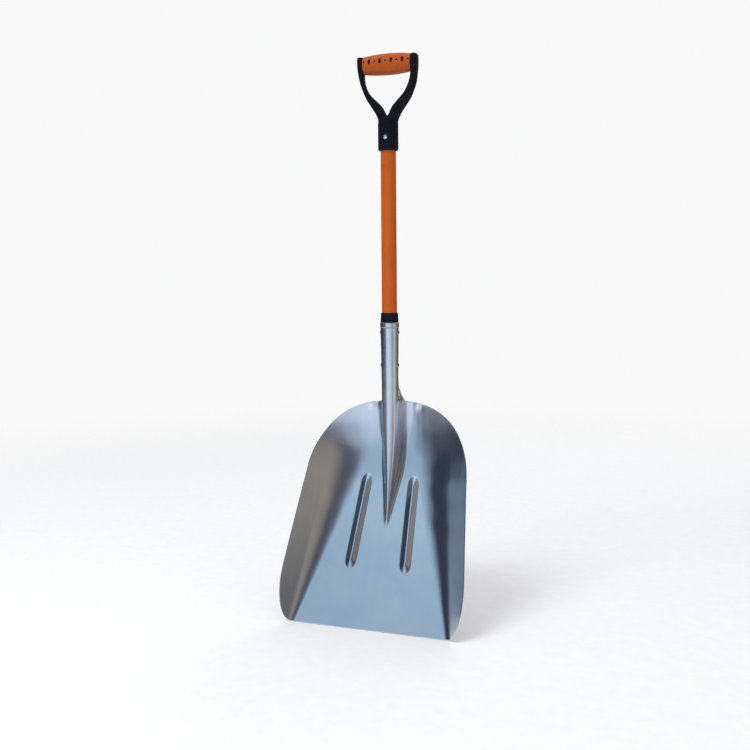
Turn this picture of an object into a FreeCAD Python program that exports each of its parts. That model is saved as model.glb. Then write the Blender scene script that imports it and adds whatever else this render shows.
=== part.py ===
"""Aluminium scoop shovel with a D-grip: one STEP solid per physical piece.

Heights below are measured from the blade's lip, with the shaft's axis at x = y = 0, +Z up the shaft
and the scoop's hollow facing -Y. On export everything is lowered, so that the row's origin is the
underside of the grip bar, where the shovel hangs. Sizes are in millimetres.
"""
import FreeCAD, Part
import math
import os
from FreeCAD import Vector

# Overall
HANG_Z = 1119.5           # underside of the grip bar above the lip
LIFT = 30.0               # angle between the blade's floor and the shaft, degrees
LIP_Y = -159.0            # the lip stands this far in front of the shaft's axis
SHEET = 1.8               # blade's sheet thickness

# Blade, in its own plane: x across, s up the floor from the lip, h out of the floor towards the user
LIP_HALF = 170.0          # half the length of the straight lip
FLOOR_HALF = 158.0        # half-width of the flat floor at the lip
FLOOR_TAPER = 0.27        # loss of that half-width per millimetre up the floor
FILLET = 18.0             # width of the bend between floor and side wall at the lip
FILLET_GROWTH = 0.115
WALL_SLOPE = 0.82         # rise per millimetre of the side wall at the lip
WALL_SLOPE_LOSS = 0.00065
BOWL_START = 305.0        # the floor starts to curve up here
BOWL_RATE = 0.0016
SIDE_HALF = 202.3         # half-width of the outline, extended to the lip
SIDE_TAPER = 0.0845
CORNER_LENGTH = 110.0     # the outline rounds in over this length above the lip
SHOULDER_S = 311.0        # the round top of the outline starts here
CROWN = 172.0             # and rises by this much
CROWN_POWER = 2.4
OUTLINE_TOP_S = SHOULDER_S + CROWN
SLAB_DEPTH = 30.0
FRONT_SKIN = (215.0, -12.0, 492.0)   # half-width, lowest and highest s; both reach past the outline
BACK_SKIN = (225.0, -20.0, 489.0)
SKIN_DEPTH = 400.0        # the skins are drawn down this far before they are trimmed
FLOOR_DROP = 0.06         # the curved skin's floor lies this far under the planar one

# Stiffening ribs pressed into the floor
RIB_LOW_S = 123.0
RIB_HIGH_S = 323.0
RIB_LOW_X = 60.0
RIB_HIGH_X = 52.0
RIB_HALF = 12.0
RIB_RISE = 7.0
RIB_CREST_R = 3.0
RIB_RUNOUT = 15.0

# Spine: the half-round ridge that runs from the floor into the socket
SPINE_FOOT_Z = 176.0
SPINE_TIP_Z = 190.0
SPINE_TOP_Z = 450.0
SPINE_LEAN = 33.4         # how far the crest leans forward at the tip
SPINE_ROOT = 12.0         # how far its solid reaches behind the floor, to cut and join cleanly
SPINE_TIP_R = 3.6         # crest radius at the tip; it reaches the socket's at the height below
SPINE_ROUND_Z = 400.0
SPINE_TIP_HALF = 9.0      # half-width at the tip; it reaches its full width at the height below
SPINE_WIDE_Z = 330.0
SPINE_FLARE = 1.8         # power of the flanks' hollow curve
SPINE_RELIEF = 3.0        # its inner solid reaches this much further back, to open the shell
CLOSED_SHARE = 0.84       # the closed neck's flanks stop this far round its rear half
NECK_LOW_Z = 446.0
NECK_TOP_Z = 491.0
NECK_STEP = 0.4           # the neck is this much slimmer than the foot of the socket
SPINE_HALF = 27.0         # half-width of the spine where it meets the blade's top edge
NECK_REAR_Y = 39.0

# Socket
SOCKET_LOW_Z = 487.0
SOCKET_R = 17.9           # outside, at its lower end
SOCKET_TOP_R = 19.3
SOCKET_LIP_R = 20.0
SOCKET_LIP_Z = 603.0
SOCKET_TOP_Z = 613.0
SEAM_GAP = 1.6            # open seam down the back of the socket
SEAM_LOW_Z = 460.0

# Shaft, plug and collar
SHAFT_R = 16.0
SHAFT_WALL = 2.8
SHAFT_LOW_Z = 493.0
SHAFT_TOP_Z = 1010.0
PLUG_TOP_Z = 640.0
PLUG_CHAMFER = 2.0
COLLAR_LOW_Z = 560.0
COLLAR_TOP_Z = 632.0
COLLAR_R = 19.0
COLLAR_TOP_R = 18.0
FIT = 0.05                # radial clearance between pieces that fit
REACH = 40.0              # cutters reach this far from the middle, past every surface

# Rivets
RIVET_R = 3.0
RIVET_HEAD_R = 5.6
RIVET_HEAD_H = 2.2
RIVET_BED = 1.0           # how far a head's skirt wraps down onto the round wall
RIVET_HEIGHTS = {"socket_rivet_upper": 594.0, "socket_rivet_lower": 525.0}
GRIP_RIVET_Z = 993.5
GRIP_RIVET_HEAD_R = 5.0

# Grip
NECK_R = 21.1
NECK_ROUND = 4.0
NECK_BASE_Z = 967.0
NECK_SHOULDER_Z = 1020.5  # where the neck rounds over into its dome
CORE_R = 11.0
BAR_Z = 1141.0
BAR_HALF = 51.0           # half-length of the sleeve between the arms
BAR_HALF_HEIGHT = 21.5
BAR_END_HALF_HEIGHT = 17.5
BAR_HALF_DEPTH = 17.5
BAR_END_HALF_DEPTH = 14.5
# Stations up one arm: x and height of its centre, half its thickness in the plane of the grip, half
# its depth across it, and the twist that carries the section's long axis from inner front to outer back
ARM = (
    (4.0, 1005.0, 15.0, 18.0, 0.0),
    (12.6, 1038.0, 12.2, 15.6, 8.0),
    (19.8, 1050.0, 9.8, 14.6, 16.0),
    (28.0, 1060.5, 7.8, 13.8, 22.0),
    (37.0, 1071.0, 6.0, 13.2, 23.0),
    (44.5, 1082.0, 5.3, 12.6, 20.0),
    (53.0, 1102.0, 5.3, 12.0, 12.0),
    (56.6, 1123.0, 5.6, 12.2, 4.0),
    (57.2, 1141.0, 6.2, 13.4, 0.0),
    (57.2, 1154.5, 6.0, 13.0, 0.0),
)
EAR_TOP_Z = 1158.5
EAR_STEPS = (0.45, 0.75, 0.93)   # shares of the ear's dome where its sections stand
MARK_PITCH = 11.8         # spacing of the pockets along the front of the sleeve
MARK_COUNT = 9
MARK_RISE = 4.6           # their height above the bar's axis
MARK_DOT_R = 1.8
MARK_OVAL_R = 2.8
MARK_OVAL_LENGTH = 10.5


def polygon(points):
    """Closed planar face through the points."""
    return Part.Face(Part.makePolygon(points + points[:1]))


def spline_wire(points, closed):
    curve = Part.BSplineCurve()
    curve.interpolate(Points=points, PeriodicFlag=closed)
    return Part.Wire([curve.toShape()])


def turned(profile):
    """Solid of revolution about the shaft's axis from (radius, height) pairs."""
    face = polygon([Vector(r, 0, z) for r, z in profile])
    return face.revolve(Vector(0, 0, 0), Vector(0, 0, 1), 360)


def rod(radius, start, end):
    return Part.makeCylinder(radius, (end - start).Length, start, end - start)


def mirrored(shape):
    return shape.mirror(Vector(0, 0, 0), Vector(1, 0, 0))


def drilled_across(shape):
    for z in RIVET_HEIGHTS.values():
        shape = shape.cut(rod(RIVET_R + FIT, Vector(-REACH, 0, z), Vector(REACH, 0, z)))
    return shape


def drilled_through_grip(shape):
    return shape.cut(rod(RIVET_R + FIT, Vector(0, -REACH, GRIP_RIVET_Z), Vector(0, REACH, GRIP_RIVET_Z)))


# Blade -----------------------------------------------------------------------------------------

def bowl(s):
    return BOWL_RATE * max(0.0, s - BOWL_START) ** 2


def side_wall(x, s):
    """Rise of the side wall above the floor at one point."""
    out = abs(x) - (FLOOR_HALF - FLOOR_TAPER * s)
    bend = FILLET + FILLET_GROWTH * s
    slope = WALL_SLOPE - WALL_SLOPE_LOSS * s
    if out <= 0.0:
        return 0.0
    if out < bend:
        return slope * out * out / (2.0 * bend)
    return slope * (out - bend / 2.0)


def tray(x, s):
    """Height of the sheet's back above the floor plane."""
    return side_wall(x, s) + bowl(s)


def tray_front(x, s):
    """Height of the sheet's front, which keeps the thickness square to the sheet."""
    step = 0.5
    across = (tray(x + step, s) - tray(x - step, s)) / (2.0 * step)
    along = (tray(x, s + step) - tray(x, s - step)) / (2.0 * step)
    return tray(x, s) + SHEET * math.sqrt(1.0 + across ** 2 + along ** 2)


def slab(height, half_width, low_s, high_s):
    """Solid under a height surface, down to a flat underside."""
    across = 44
    along = 40
    rows = []
    for j in range(along + 1):
        s = low_s + (high_s - low_s) * j / along
        row = []
        for i in range(across + 1):
            x = half_width * (2.0 * i / across - 1.0)
            row.append(Vector(x, s, height(x, s) - FLOOR_DROP))
        rows.append(row)
    surface = Part.BSplineSurface()
    surface.interpolate(rows)
    top = surface.toShape()
    block = top.extrude(Vector(0, 0, -SKIN_DEPTH))
    keep = Part.makeBox(4 * half_width, 2 * high_s, SKIN_DEPTH + SLAB_DEPTH)
    keep.translate(Vector(-2 * half_width, -high_s / 2, -SLAB_DEPTH))
    return block.common(keep)


def flat_floor(level, low_s):
    """Planar top for the floor, inside the bends."""
    high_s = BOWL_START + 4.0
    low_half = FLOOR_HALF - FLOOR_TAPER * low_s + 1.0
    high_half = FLOOR_HALF - FLOOR_TAPER * high_s + 1.0
    corners = [(-low_half, low_s), (low_half, low_s), (high_half, high_s), (-high_half, high_s)]
    base = polygon([Vector(x, s, -SLAB_DEPTH / 2) for x, s in corners])
    return base.extrude(Vector(0, 0, level + SLAB_DEPTH / 2))


def outline_solid():
    """Prism inside the blade's outline."""
    steps = 14
    side = []
    for i in range(steps + 1):
        turn = math.pi / 2 * i / steps
        s = CORNER_LENGTH * (1.0 - math.cos(turn))
        full = SIDE_HALF - SIDE_TAPER * s
        tuck = (1.0 - LIP_HALF / SIDE_HALF) * (1.0 - math.sin(turn))
        side.append((full * (1.0 - tuck), s))
    for i in range(1, 8):
        s = CORNER_LENGTH + (SHOULDER_S - CORNER_LENGTH) * i / 8
        side.append((SIDE_HALF - SIDE_TAPER * s, s))
    for i in range(steps + 1):
        turn = math.pi / 2 * i / steps
        s = SHOULDER_S + CROWN * math.sin(turn) ** (2.0 / CROWN_POWER)
        side.append(((SIDE_HALF - SIDE_TAPER * s) * math.cos(turn) ** (2.0 / CROWN_POWER), s))
    right = [Vector(x, s, -SLAB_DEPTH * 2) for x, s in side]
    left = [Vector(-p.x, p.y, p.z) for p in reversed(right[:-1])]
    curve = Part.BSplineCurve()
    curve.interpolate(Points=right + left)
    lip = Part.makeLine(left[-1], right[0])
    face = Part.Face(Part.Wire([curve.toShape(), lip]))
    return face.extrude(Vector(0, 0, SLAB_DEPTH * 2 + 160))


def rib(base_level, inset):
    """One pressed rib on the +X side: a rounded crest with sloping flanks and sloping ends."""
    half = RIB_HALF - inset
    rise = RIB_RISE
    length = math.hypot(RIB_HIGH_S - RIB_LOW_S, RIB_LOW_X - RIB_HIGH_X) + 2 * RIB_HALF - 2 * inset
    flank = math.atan2(rise + RIB_CREST_R * 0.35, half)
    touch_x = RIB_CREST_R * math.sin(flank)
    touch_h = rise - RIB_CREST_R * (1.0 - math.cos(flank))
    foot = SLAB_DEPTH / 3
    spread = touch_x + (touch_h + foot) / math.tan(flank)
    cross = Part.Face(Part.Wire([
        Part.makeLine(Vector(-spread, 0, -foot), Vector(spread, 0, -foot)),
        Part.makeLine(Vector(spread, 0, -foot), Vector(touch_x, 0, touch_h)),
        Part.Arc(Vector(touch_x, 0, touch_h), Vector(0, 0, rise), Vector(-touch_x, 0, touch_h)).toShape(),
        Part.makeLine(Vector(-touch_x, 0, touch_h), Vector(-spread, 0, -foot)),
    ])).extrude(Vector(0, length, 0))
    slope = rise / RIB_RUNOUT
    low = -foot / slope
    along = polygon([
        Vector(-2 * RIB_HALF, low, -foot),
        Vector(-2 * RIB_HALF, RIB_RUNOUT * 1.2, rise * 1.2),
        Vector(-2 * RIB_HALF, length - RIB_RUNOUT * 1.2, rise * 1.2),
        Vector(-2 * RIB_HALF, length - low, -foot),
    ]).extrude(Vector(4 * RIB_HALF, 0, 0))
    body = cross.common(along)
    body.translate(Vector(0, -length / 2, base_level))
    tilt = math.degrees(math.atan2(RIB_LOW_X - RIB_HIGH_X, RIB_HIGH_S - RIB_LOW_S))
    body.rotate(Vector(0, 0, 0), Vector(0, 0, 1), tilt)
    body.translate(Vector((RIB_LOW_X + RIB_HIGH_X) / 2, (RIB_LOW_S + RIB_HIGH_S) / 2, 0))
    return body


def stood_up(shape):
    """From the blade's own plane to its place on the shovel."""
    shape.rotate(Vector(0, 0, 0), Vector(1, 0, 0), 90 - LIFT)
    shape.translate(Vector(0, LIP_Y, 0))
    return shape


def floor_y(z):
    """Depth of the floor's front on the middle line at one height."""
    lift = math.radians(LIFT)
    low = 0.0
    high = OUTLINE_TOP_S
    for _ in range(40):
        s = (low + high) / 2
        if s * math.cos(lift) + (tray(0, s) + SHEET) * math.sin(lift) < z:
            low = s
        else:
            high = s
    return LIP_Y + s * math.sin(lift) - (tray(0, s) + SHEET) * math.cos(lift)


def socket_radius(z):
    """Outside of the socket, which widens towards its mouth."""
    grow = (z - SOCKET_LOW_Z) / (SOCKET_LIP_Z - SOCKET_LOW_Z)
    return SOCKET_R + (SOCKET_TOP_R - SOCKET_R) * grow


def socket_bore(z):
    """Inside radius of the socket at one height."""
    return socket_radius(z) - SHEET


def crest_y(z):
    lean = max(0.0, SPINE_TOP_Z - z) / (SPINE_TOP_Z - SPINE_TIP_Z)
    return NECK_STEP - SOCKET_R - SPINE_LEAN * lean ** 2


def grown(z, low_z, high_z, low, high):
    """Value that eases from low to high between two heights."""
    t = min(1.0, max(0.0, (z - low_z) / (high_z - low_z)))
    return low + (high - low) * t * t * (3.0 - 2.0 * t)


def spine_section(z, inset):
    """Half-round crest with hollow flanks, closing into the socket's circle above the blade."""
    crest = crest_y(z) + inset
    radius = grown(z, SPINE_TIP_Z, SPINE_ROUND_Z, SPINE_TIP_R, SOCKET_R - NECK_STEP) - inset
    skirt = grown(z, SPINE_TIP_Z, SPINE_WIDE_Z, SPINE_TIP_HALF, SPINE_HALF)
    floor = floor_y(min(z, NECK_LOW_Z))
    rear = min(NECK_REAR_Y, floor + SPINE_ROOT) + (SPINE_RELIEF if inset else 0.0)
    closing = grown(z, NECK_LOW_Z, SOCKET_LOW_Z, 0.0, 1.0)
    arc_steps = 4
    flank_steps = 5
    half = []
    for i in range(1, arc_steps + 1):
        turn = math.pi / 2 * i / arc_steps
        half.append((radius * math.sin(turn), crest + radius * (1.0 - math.cos(turn))))
    waist = crest + radius
    at_floor = max(0.5, (floor - waist) / (rear - waist))
    for i in range(1, flank_steps + 1):
        u = i / flank_steps
        turn = math.pi / 2 * (1.0 + u * CLOSED_SHARE)
        open_x = radius + (skirt - inset - radius) * (u / at_floor) ** SPINE_FLARE
        open_y = waist + (rear - waist) * u
        round_x = radius * math.sin(turn)
        round_y = crest + radius * (1.0 - math.cos(turn))
        half.append((open_x + (round_x - open_x) * closing, open_y + (round_y - open_y) * closing))
    back_y = rear + (crest + 2.0 * radius - rear) * closing
    points = [Vector(0, crest, z)]
    points += [Vector(x, y, z) for x, y in half]
    points.append(Vector(0, back_y, z))
    points += [Vector(-x, y, z) for x, y in reversed(half)]
    return spline_wire(points, True)


def spine(inset):
    """Spine and neck, up into the foot of the socket."""
    heights = [SPINE_FOOT_Z, 195, 215, 240, 270, 305, 340, 375, 405, 430]
    heights += [NECK_LOW_Z, 456, 466, 476, SOCKET_LOW_Z, NECK_TOP_Z]
    return Part.makeLoft([spine_section(z, inset) for z in heights], True, False)


def socket(inset):
    if inset:
        top = SOCKET_TOP_Z + 1.0
        return turned([
            (0, SOCKET_LOW_Z), (socket_bore(SOCKET_LOW_Z), SOCKET_LOW_Z), (socket_bore(top), top), (0, top),
        ])
    return turned([
        (0, SOCKET_LOW_Z), (SOCKET_R, SOCKET_LOW_Z), (SOCKET_TOP_R, SOCKET_LIP_Z),
        (SOCKET_LIP_R, SOCKET_LIP_Z + 1.0), (SOCKET_LIP_R, SOCKET_TOP_Z - 1.0),
        (SOCKET_LIP_R - 0.6, SOCKET_TOP_Z), (0, SOCKET_TOP_Z),
    ])


def joined(body, one_rib, *others):
    """The body with a rib on each side and the other solids, joined one at a time."""
    for piece in (one_rib, mirrored(one_rib)) + others:
        body = body.fuse(piece)
    return body


def blade():
    front = slab(tray_front, *FRONT_SKIN)
    front = front.fuse(flat_floor(SHEET, FRONT_SKIN[1] / 2))
    back = slab(tray, *BACK_SKIN)
    back = back.fuse(flat_floor(0.0, BACK_SKIN[1] * 0.8))
    outer = stood_up(front.common(outline_solid()))
    inner = stood_up(back)
    outer = joined(outer, stood_up(rib(SHEET, 0.0)), spine(0.0), socket(0.0))
    inner = joined(inner, stood_up(rib(0.0, 0.5)), spine(SHEET), socket(SHEET))
    shell = outer.cut(inner)
    seam = Part.makeBox(SEAM_GAP, REACH, SOCKET_TOP_Z - SEAM_LOW_Z + 20, Vector(-SEAM_GAP / 2, 5, SEAM_LOW_Z))
    return drilled_across(shell.cut(seam))


# Shaft, plug, collar and rivets ------------------------------------------------------------------

def shaft():
    inside = SHAFT_R - SHAFT_WALL
    chamfer = 0.8
    tube = turned([
        (inside, SHAFT_LOW_Z), (SHAFT_R - chamfer, SHAFT_LOW_Z), (SHAFT_R, SHAFT_LOW_Z + chamfer),
        (SHAFT_R, SHAFT_TOP_Z - chamfer), (SHAFT_R - chamfer, SHAFT_TOP_Z), (inside, SHAFT_TOP_Z),
    ])
    return drilled_across(drilled_through_grip(tube))


def plug():
    radius = SHAFT_R - SHAFT_WALL - FIT
    low = SHAFT_LOW_Z + 1.0
    dowel = turned([
        (0, low), (radius - PLUG_CHAMFER, low), (radius, low + PLUG_CHAMFER),
        (radius, PLUG_TOP_Z - PLUG_CHAMFER), (radius - PLUG_CHAMFER, PLUG_TOP_Z), (0, PLUG_TOP_Z),
    ])
    return drilled_across(dowel)


def collar():
    inside = SHAFT_R + FIT
    sleeve = turned([
        (inside, COLLAR_LOW_Z), (socket_bore(COLLAR_LOW_Z) - FIT, COLLAR_LOW_Z),
        (socket_bore(SOCKET_TOP_Z) - FIT, SOCKET_TOP_Z + FIT), (COLLAR_R, SOCKET_TOP_Z + FIT),
        (COLLAR_R, SOCKET_TOP_Z + 3.0), (COLLAR_TOP_R, COLLAR_TOP_Z - 1.0),
        (COLLAR_TOP_R - 1.0, COLLAR_TOP_Z), (inside, COLLAR_TOP_Z),
    ])
    return drilled_across(sleeve)


def domed(radius, height, seat, direction):
    """Low dome on a seat, as a slice of a ball."""
    ball = (radius ** 2 + height ** 2) / (2.0 * height)
    centre = seat - direction * (ball - height)
    slab_side = 4.0 * radius
    keep = Part.makeCylinder(slab_side, slab_side, seat, direction)
    return Part.makeSphere(ball, centre).common(keep)


def rivet(middle, direction, reach, head_r, wall):
    """Round rivet whose domed heads bed on a round wall."""
    inside_head = reach + RIVET_HEAD_H / 2
    body = rod(RIVET_R, middle - direction * inside_head, middle + direction * inside_head)
    for way in (direction, direction * -1.0):
        rim = middle + way * reach
        head = domed(head_r, RIVET_HEAD_H, rim, way)
        head = head.fuse(rod(head_r, rim - way * RIVET_BED, rim))
        body = body.fuse(head.cut(wall))
    return body


def socket_rivet(z):
    reach = socket_bore(z) + SHEET
    taper = (SOCKET_TOP_R - SOCKET_R) / (SOCKET_LIP_Z - SOCKET_LOW_Z)
    span = 2.0 * RIVET_HEAD_R
    wide = reach + FIT + taper * span
    narrow = reach + FIT - taper * span
    wall = turned([(0, z - span), (narrow, z - span), (wide, z + span), (0, z + span)])
    return rivet(Vector(0, 0, z), Vector(1, 0, 0), reach, RIVET_HEAD_R, wall)


# Grip --------------------------------------------------------------------------------------------

def arm_section(station, ahead):
    """Rounded section across an arm at one station; ahead is the way the arm runs there."""
    x, z, half_thickness, half_depth, twist = station
    tilt = math.radians(twist)
    outwards = Vector(ahead.z, 0, -ahead.x)
    depthways = Vector(0, 1, 0)
    thin = outwards * math.cos(tilt) - depthways * math.sin(tilt)
    wide = outwards * math.sin(tilt) + depthways * math.cos(tilt)
    points = []
    count = 16
    squareness = 0.8
    for i in range(count):
        turn = 2.0 * math.pi * i / count
        c = math.copysign(abs(math.cos(turn)) ** squareness, math.cos(turn))
        d = math.copysign(abs(math.sin(turn)) ** squareness, math.sin(turn))
        points.append(Vector(x, 0, z) + thin * (c * half_thickness) + wide * (d * half_depth))
    return spline_wire(points, True)


def arm():
    """One arm, from inside the neck to the blunt ear beside the bar."""
    x, top_z, half_thickness, half_depth, twist = ARM[-1]
    stations = list(ARM)
    for k in EAR_STEPS:
        narrowing = (1.0 - k ** 3) ** 0.5
        z = top_z + (EAR_TOP_Z - top_z) * k
        stations.append((x, z, half_thickness * narrowing, half_depth * narrowing, twist))
    wires = []
    for i, station in enumerate(stations):
        before = stations[max(0, i - 1)]
        after = stations[min(len(stations) - 1, i + 1)]
        ahead = Vector(after[0] - before[0], 0, after[1] - before[1]).normalize()
        wires.append(arm_section(station, ahead))
    return Part.makeLoft(wires, True, False)


def grip_frame():
    dome = []
    for degrees in (0, 20, 40, 60, 75):
        turn = math.radians(degrees)
        dome.append((NECK_R * math.cos(turn), NECK_SHOULDER_Z + NECK_R * math.sin(turn)))
    neck = turned([
        (0, NECK_BASE_Z), (NECK_R - NECK_ROUND, NECK_BASE_Z), (NECK_R - 1.2, NECK_BASE_Z + 1.2),
        (NECK_R, NECK_BASE_Z + NECK_ROUND),
    ] + dome + [(0, dome[-1][1])])
    right = arm()
    core = rod(CORE_R, Vector(-ARM[-1][0], 0, BAR_Z), Vector(ARM[-1][0], 0, BAR_Z))
    body = joined(neck, right, core)
    body = body.cut(rod(SHAFT_R + FIT, Vector(0, 0, NECK_BASE_Z - 1), Vector(0, 0, SHAFT_TOP_Z + 0.2)))
    return drilled_through_grip(body)


def grip_rivet():
    span = Vector(0, 0, 2.0 * GRIP_RIVET_HEAD_R)
    middle = Vector(0, 0, GRIP_RIVET_Z)
    wall = rod(NECK_R + FIT, middle - span, middle + span)
    return rivet(middle, Vector(0, 1, 0), NECK_R, GRIP_RIVET_HEAD_R, wall)


def sleeve_section(x):
    """Oval section of the sleeve; it thins towards the arms."""
    out = abs(x) / BAR_HALF
    half_height = BAR_HALF_HEIGHT - (BAR_HALF_HEIGHT - BAR_END_HALF_HEIGHT) * out ** 2
    half_depth = BAR_HALF_DEPTH - (BAR_HALF_DEPTH - BAR_END_HALF_DEPTH) * out ** 2
    oval = Part.Ellipse(
        Vector(x, 0, BAR_Z + half_height), Vector(x, half_depth, BAR_Z), Vector(x, 0, BAR_Z))
    return Part.Wire([oval.toShape()])


def pocket(x, radius, length):
    """Cutter for one pocket in the sleeve's front: round, or an upright slot with round ends."""
    bottom_y = -CORE_R * 0.7
    middle = Vector(x, 0, BAR_Z + MARK_RISE)
    stretch = length / 2 - radius
    if stretch <= 0.0:
        return rod(radius, middle + Vector(0, bottom_y, 0), middle + Vector(0, -REACH, 0))
    cutter = Part.makeBox(2 * radius, REACH + bottom_y, 2 * stretch)
    cutter.translate(middle + Vector(-radius, -REACH, -stretch))
    for rise in (-stretch, stretch):
        end = middle + Vector(0, 0, rise)
        cutter = cutter.fuse(rod(radius, end + Vector(0, bottom_y, 0), end + Vector(0, -REACH, 0)))
    return cutter


def grip_sleeve():
    steps = 6
    stations = [BAR_HALF * (2.0 * i / steps - 1.0) for i in range(steps + 1)]
    body = Part.makeLoft([sleeve_section(x) for x in stations], True, False)
    for i in range(MARK_COUNT):
        x = MARK_PITCH * (i - (MARK_COUNT - 1) / 2)
        if i % 2 == 0:
            body = body.cut(pocket(x, MARK_DOT_R, 0.0))
        else:
            body = body.cut(pocket(x, MARK_OVAL_R, MARK_OVAL_LENGTH))
    return body.cut(rod(CORE_R + FIT, Vector(-2 * BAR_HALF, 0, BAR_Z), Vector(2 * BAR_HALF, 0, BAR_Z)))


def make_nodes():
    frame = grip_frame()
    nodes = {
        "blade": blade(),
        "collar": collar(),
        "shaft": shaft(),
        "shaft_core_plug": plug(),
        "grip_frame": frame,
        "grip_sleeve": grip_sleeve().cut(frame),
        "grip_rivet": grip_rivet(),
    }
    for name, z in RIVET_HEIGHTS.items():
        nodes[name] = socket_rivet(z)
    return nodes


os.makedirs("parts", exist_ok=True)
for name, shape in make_nodes().items():
    shape.translate(Vector(0, 0, -HANG_Z))
    shape.exportStep("parts/" + name + ".step")
    print(name, "solids", len(shape.Solids), "valid", shape.isValid(), "mm3", round(shape.Volume))
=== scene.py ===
"""Looks of the aluminium scoop shovel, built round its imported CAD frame.

Lengths in the shape functions are in millimetres, with heights measured from the blade's lip and the
shaft's axis at x = y = 0, as the object was designed. place() turns them into the frame's metres.
"""
import math

import bmesh
import bpy
import numpy as np
from mathutils import Matrix, Vector


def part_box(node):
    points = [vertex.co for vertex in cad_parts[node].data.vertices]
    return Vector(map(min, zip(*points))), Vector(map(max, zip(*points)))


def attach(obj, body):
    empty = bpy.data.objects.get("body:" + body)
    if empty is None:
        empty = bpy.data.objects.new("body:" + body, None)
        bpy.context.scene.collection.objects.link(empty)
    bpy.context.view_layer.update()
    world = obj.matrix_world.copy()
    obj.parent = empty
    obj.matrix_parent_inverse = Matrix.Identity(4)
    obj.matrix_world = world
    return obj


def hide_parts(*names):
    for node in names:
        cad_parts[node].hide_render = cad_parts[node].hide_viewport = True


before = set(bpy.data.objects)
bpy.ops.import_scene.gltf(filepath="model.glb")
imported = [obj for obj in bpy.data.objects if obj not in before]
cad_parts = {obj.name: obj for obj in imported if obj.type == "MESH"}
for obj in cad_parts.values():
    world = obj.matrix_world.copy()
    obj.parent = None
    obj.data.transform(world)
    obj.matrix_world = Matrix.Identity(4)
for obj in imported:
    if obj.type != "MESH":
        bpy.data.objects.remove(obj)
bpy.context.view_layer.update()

MM = 0.001
LIP_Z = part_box("blade")[0][2]           # height of the blade's lip in the frame

# Blade, in its own plane: x across, s up the floor from the lip, h out of the floor towards the user
LIFT = math.radians(30.0)               # angle between the floor and the shaft
LIP_Y = -159.0                          # the lip stands this far in front of the shaft's axis
SHEET = 1.8
RIM = ((0.12, 0.2), (0.5, 0.32), (0.88, 0.2))   # round rim: depth and reach, as shares of the sheet
LIP_HALF = 170.0
FLOOR_HALF = 158.0                      # half-width of the flat floor at the lip
FLOOR_TAPER = 0.3125                    # loss of that half-width per millimetre up the floor
FILLET = 18.0                           # width of the bend beside the floor at the lip
FILLET_GROWTH = 0.2
WALL_SLOPE = 0.82                       # rise per millimetre of the side wall at the lip
WALL_SLOPE_LOSS = 0.00065
SLACK = 0.12                            # the left wall's slope eases off by this much
SLACK_S = (330.0, 430.0)                # between these distances
BOWL_START = 305.0                      # the floor starts to curve up here
BOWL_RATE = 0.0016
SIDE_HALF = 202.3                       # half-width of the outline, extended to the lip
SIDE_TAPER = 0.0845
CORNER_LENGTH = 110.0                   # the outline rounds in over this length above the lip
SHOULDER_S = 311.0                      # the round top of the outline starts here
CROWN = 168.5                           # and rises by this much
CROWN_POWER = 2.4

# Ribs pressed into the floor
RIB_LOW_S = 123.0
RIB_HIGH_S = 323.0
RIB_LOW_X = 60.0
RIB_HIGH_X = 52.0
RIB_HALF = 12.0
RIB_RISE = 4.4
RIB_RUN_OUT = 22.0                      # length over which a rib sinks into the floor
RIB_OVERRUN = 5.0                       # how much further a rib runs than its two middles say
RIB_CREST = 0.26                        # rounded part of a rib's half-width, as a share

# Swell of the sheet beside the spine, and hand-worked unevenness
SWELL_WIDTH = 15.0
SWELL_WIDTH_S = (370.0, 470.0)          # it widens between these distances
SWELL_RISE = 4.5
SWELL_RISE_S = (380.0, 478.0)           # and rises between these
SWELL_POWER = 1.6
WALL_BAND = (4.0, 40.0)                 # the walls' waves build up this far outside the floor
WALL_RISE = (0.16, 0.32)                # height of the waves on the left and the right wall
WALL_WAVES = (                          # height, length up the floor, length across, share of the phase
    (0.5, 9.0, math.inf, 1.0),
    (1.0, 17.0, 23.0, 1.3),
    (0.6, 41.0, -31.0, 0.0),
)
RIGHT_PHASE = 2.1                       # the right wall's waves are this far out of step, radians
HAMMER_RISE = (0.026, 0.014)            # height of the hammer marks on the left and the right wall
HAMMER_LENGTH = 1.7
BROAD_RISE = 0.14                       # height of the long waves over the whole sheet
CRUMPLES = (                            # height, x, s and half-width of the small folds beside the neck
    (-1.9, -40.0, 477.0, 7.0),
    (1.3, -55.0, 473.0, 6.0),
    (1.5, 49.0, 473.0, 6.0),
    (-1.0, 62.0, 470.0, 6.0),
)
CRUMPLE_LENGTH = 9.0

# Spine, neck and socket
SPINE_TIP_Z = 190.0
SPINE_TOP_Z = 450.0
SPINE_LEAN = 33.4                       # how far the crest leans forward at the tip
SPINE_FOOT_HALF = 9.0                   # half-width at the tip
SPINE_HALF = 27.0                       # half-width from the height below up
SPINE_WIDE_Z = 330.0
SPINE_SHIFT = 5.5                       # how far the tip wanders off the middle
SPINE_STRAIGHT_Z = 420.0                # it stands on the middle from here up
SPINE_TIP_R = 3.6                       # crest radius at the tip; it reaches the socket's below
SPINE_ROUND_Z = 400.0
SPINE_LEAST_RISE = 4.5                  # least rise of the crest over the floor, once past the tip
SPINE_RUN_IN = (-4.0, 16.0)             # that rise builds up between these heights above the tip's
SPINE_WAIST = 0.6                       # most of the spine's depth that its round crest takes
ARC_SHARE = 0.45                        # part of each half of the strip that runs round the crest
NECK_REAR_Y = 37.2
NECK_CLOSING = (                        # height, and how far the open neck has closed into the socket
    (426.0, 0.0), (440.0, 0.12), (450.0, 0.30), (467.0, 0.61), (482.0, 0.78), (495.0, 0.93), (507.0, 1.0))
NECK_TOP_Z = 489.0
TUBE_LOW_Z = 470.0                      # from here up the surface looks out from the shaft's axis
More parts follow.
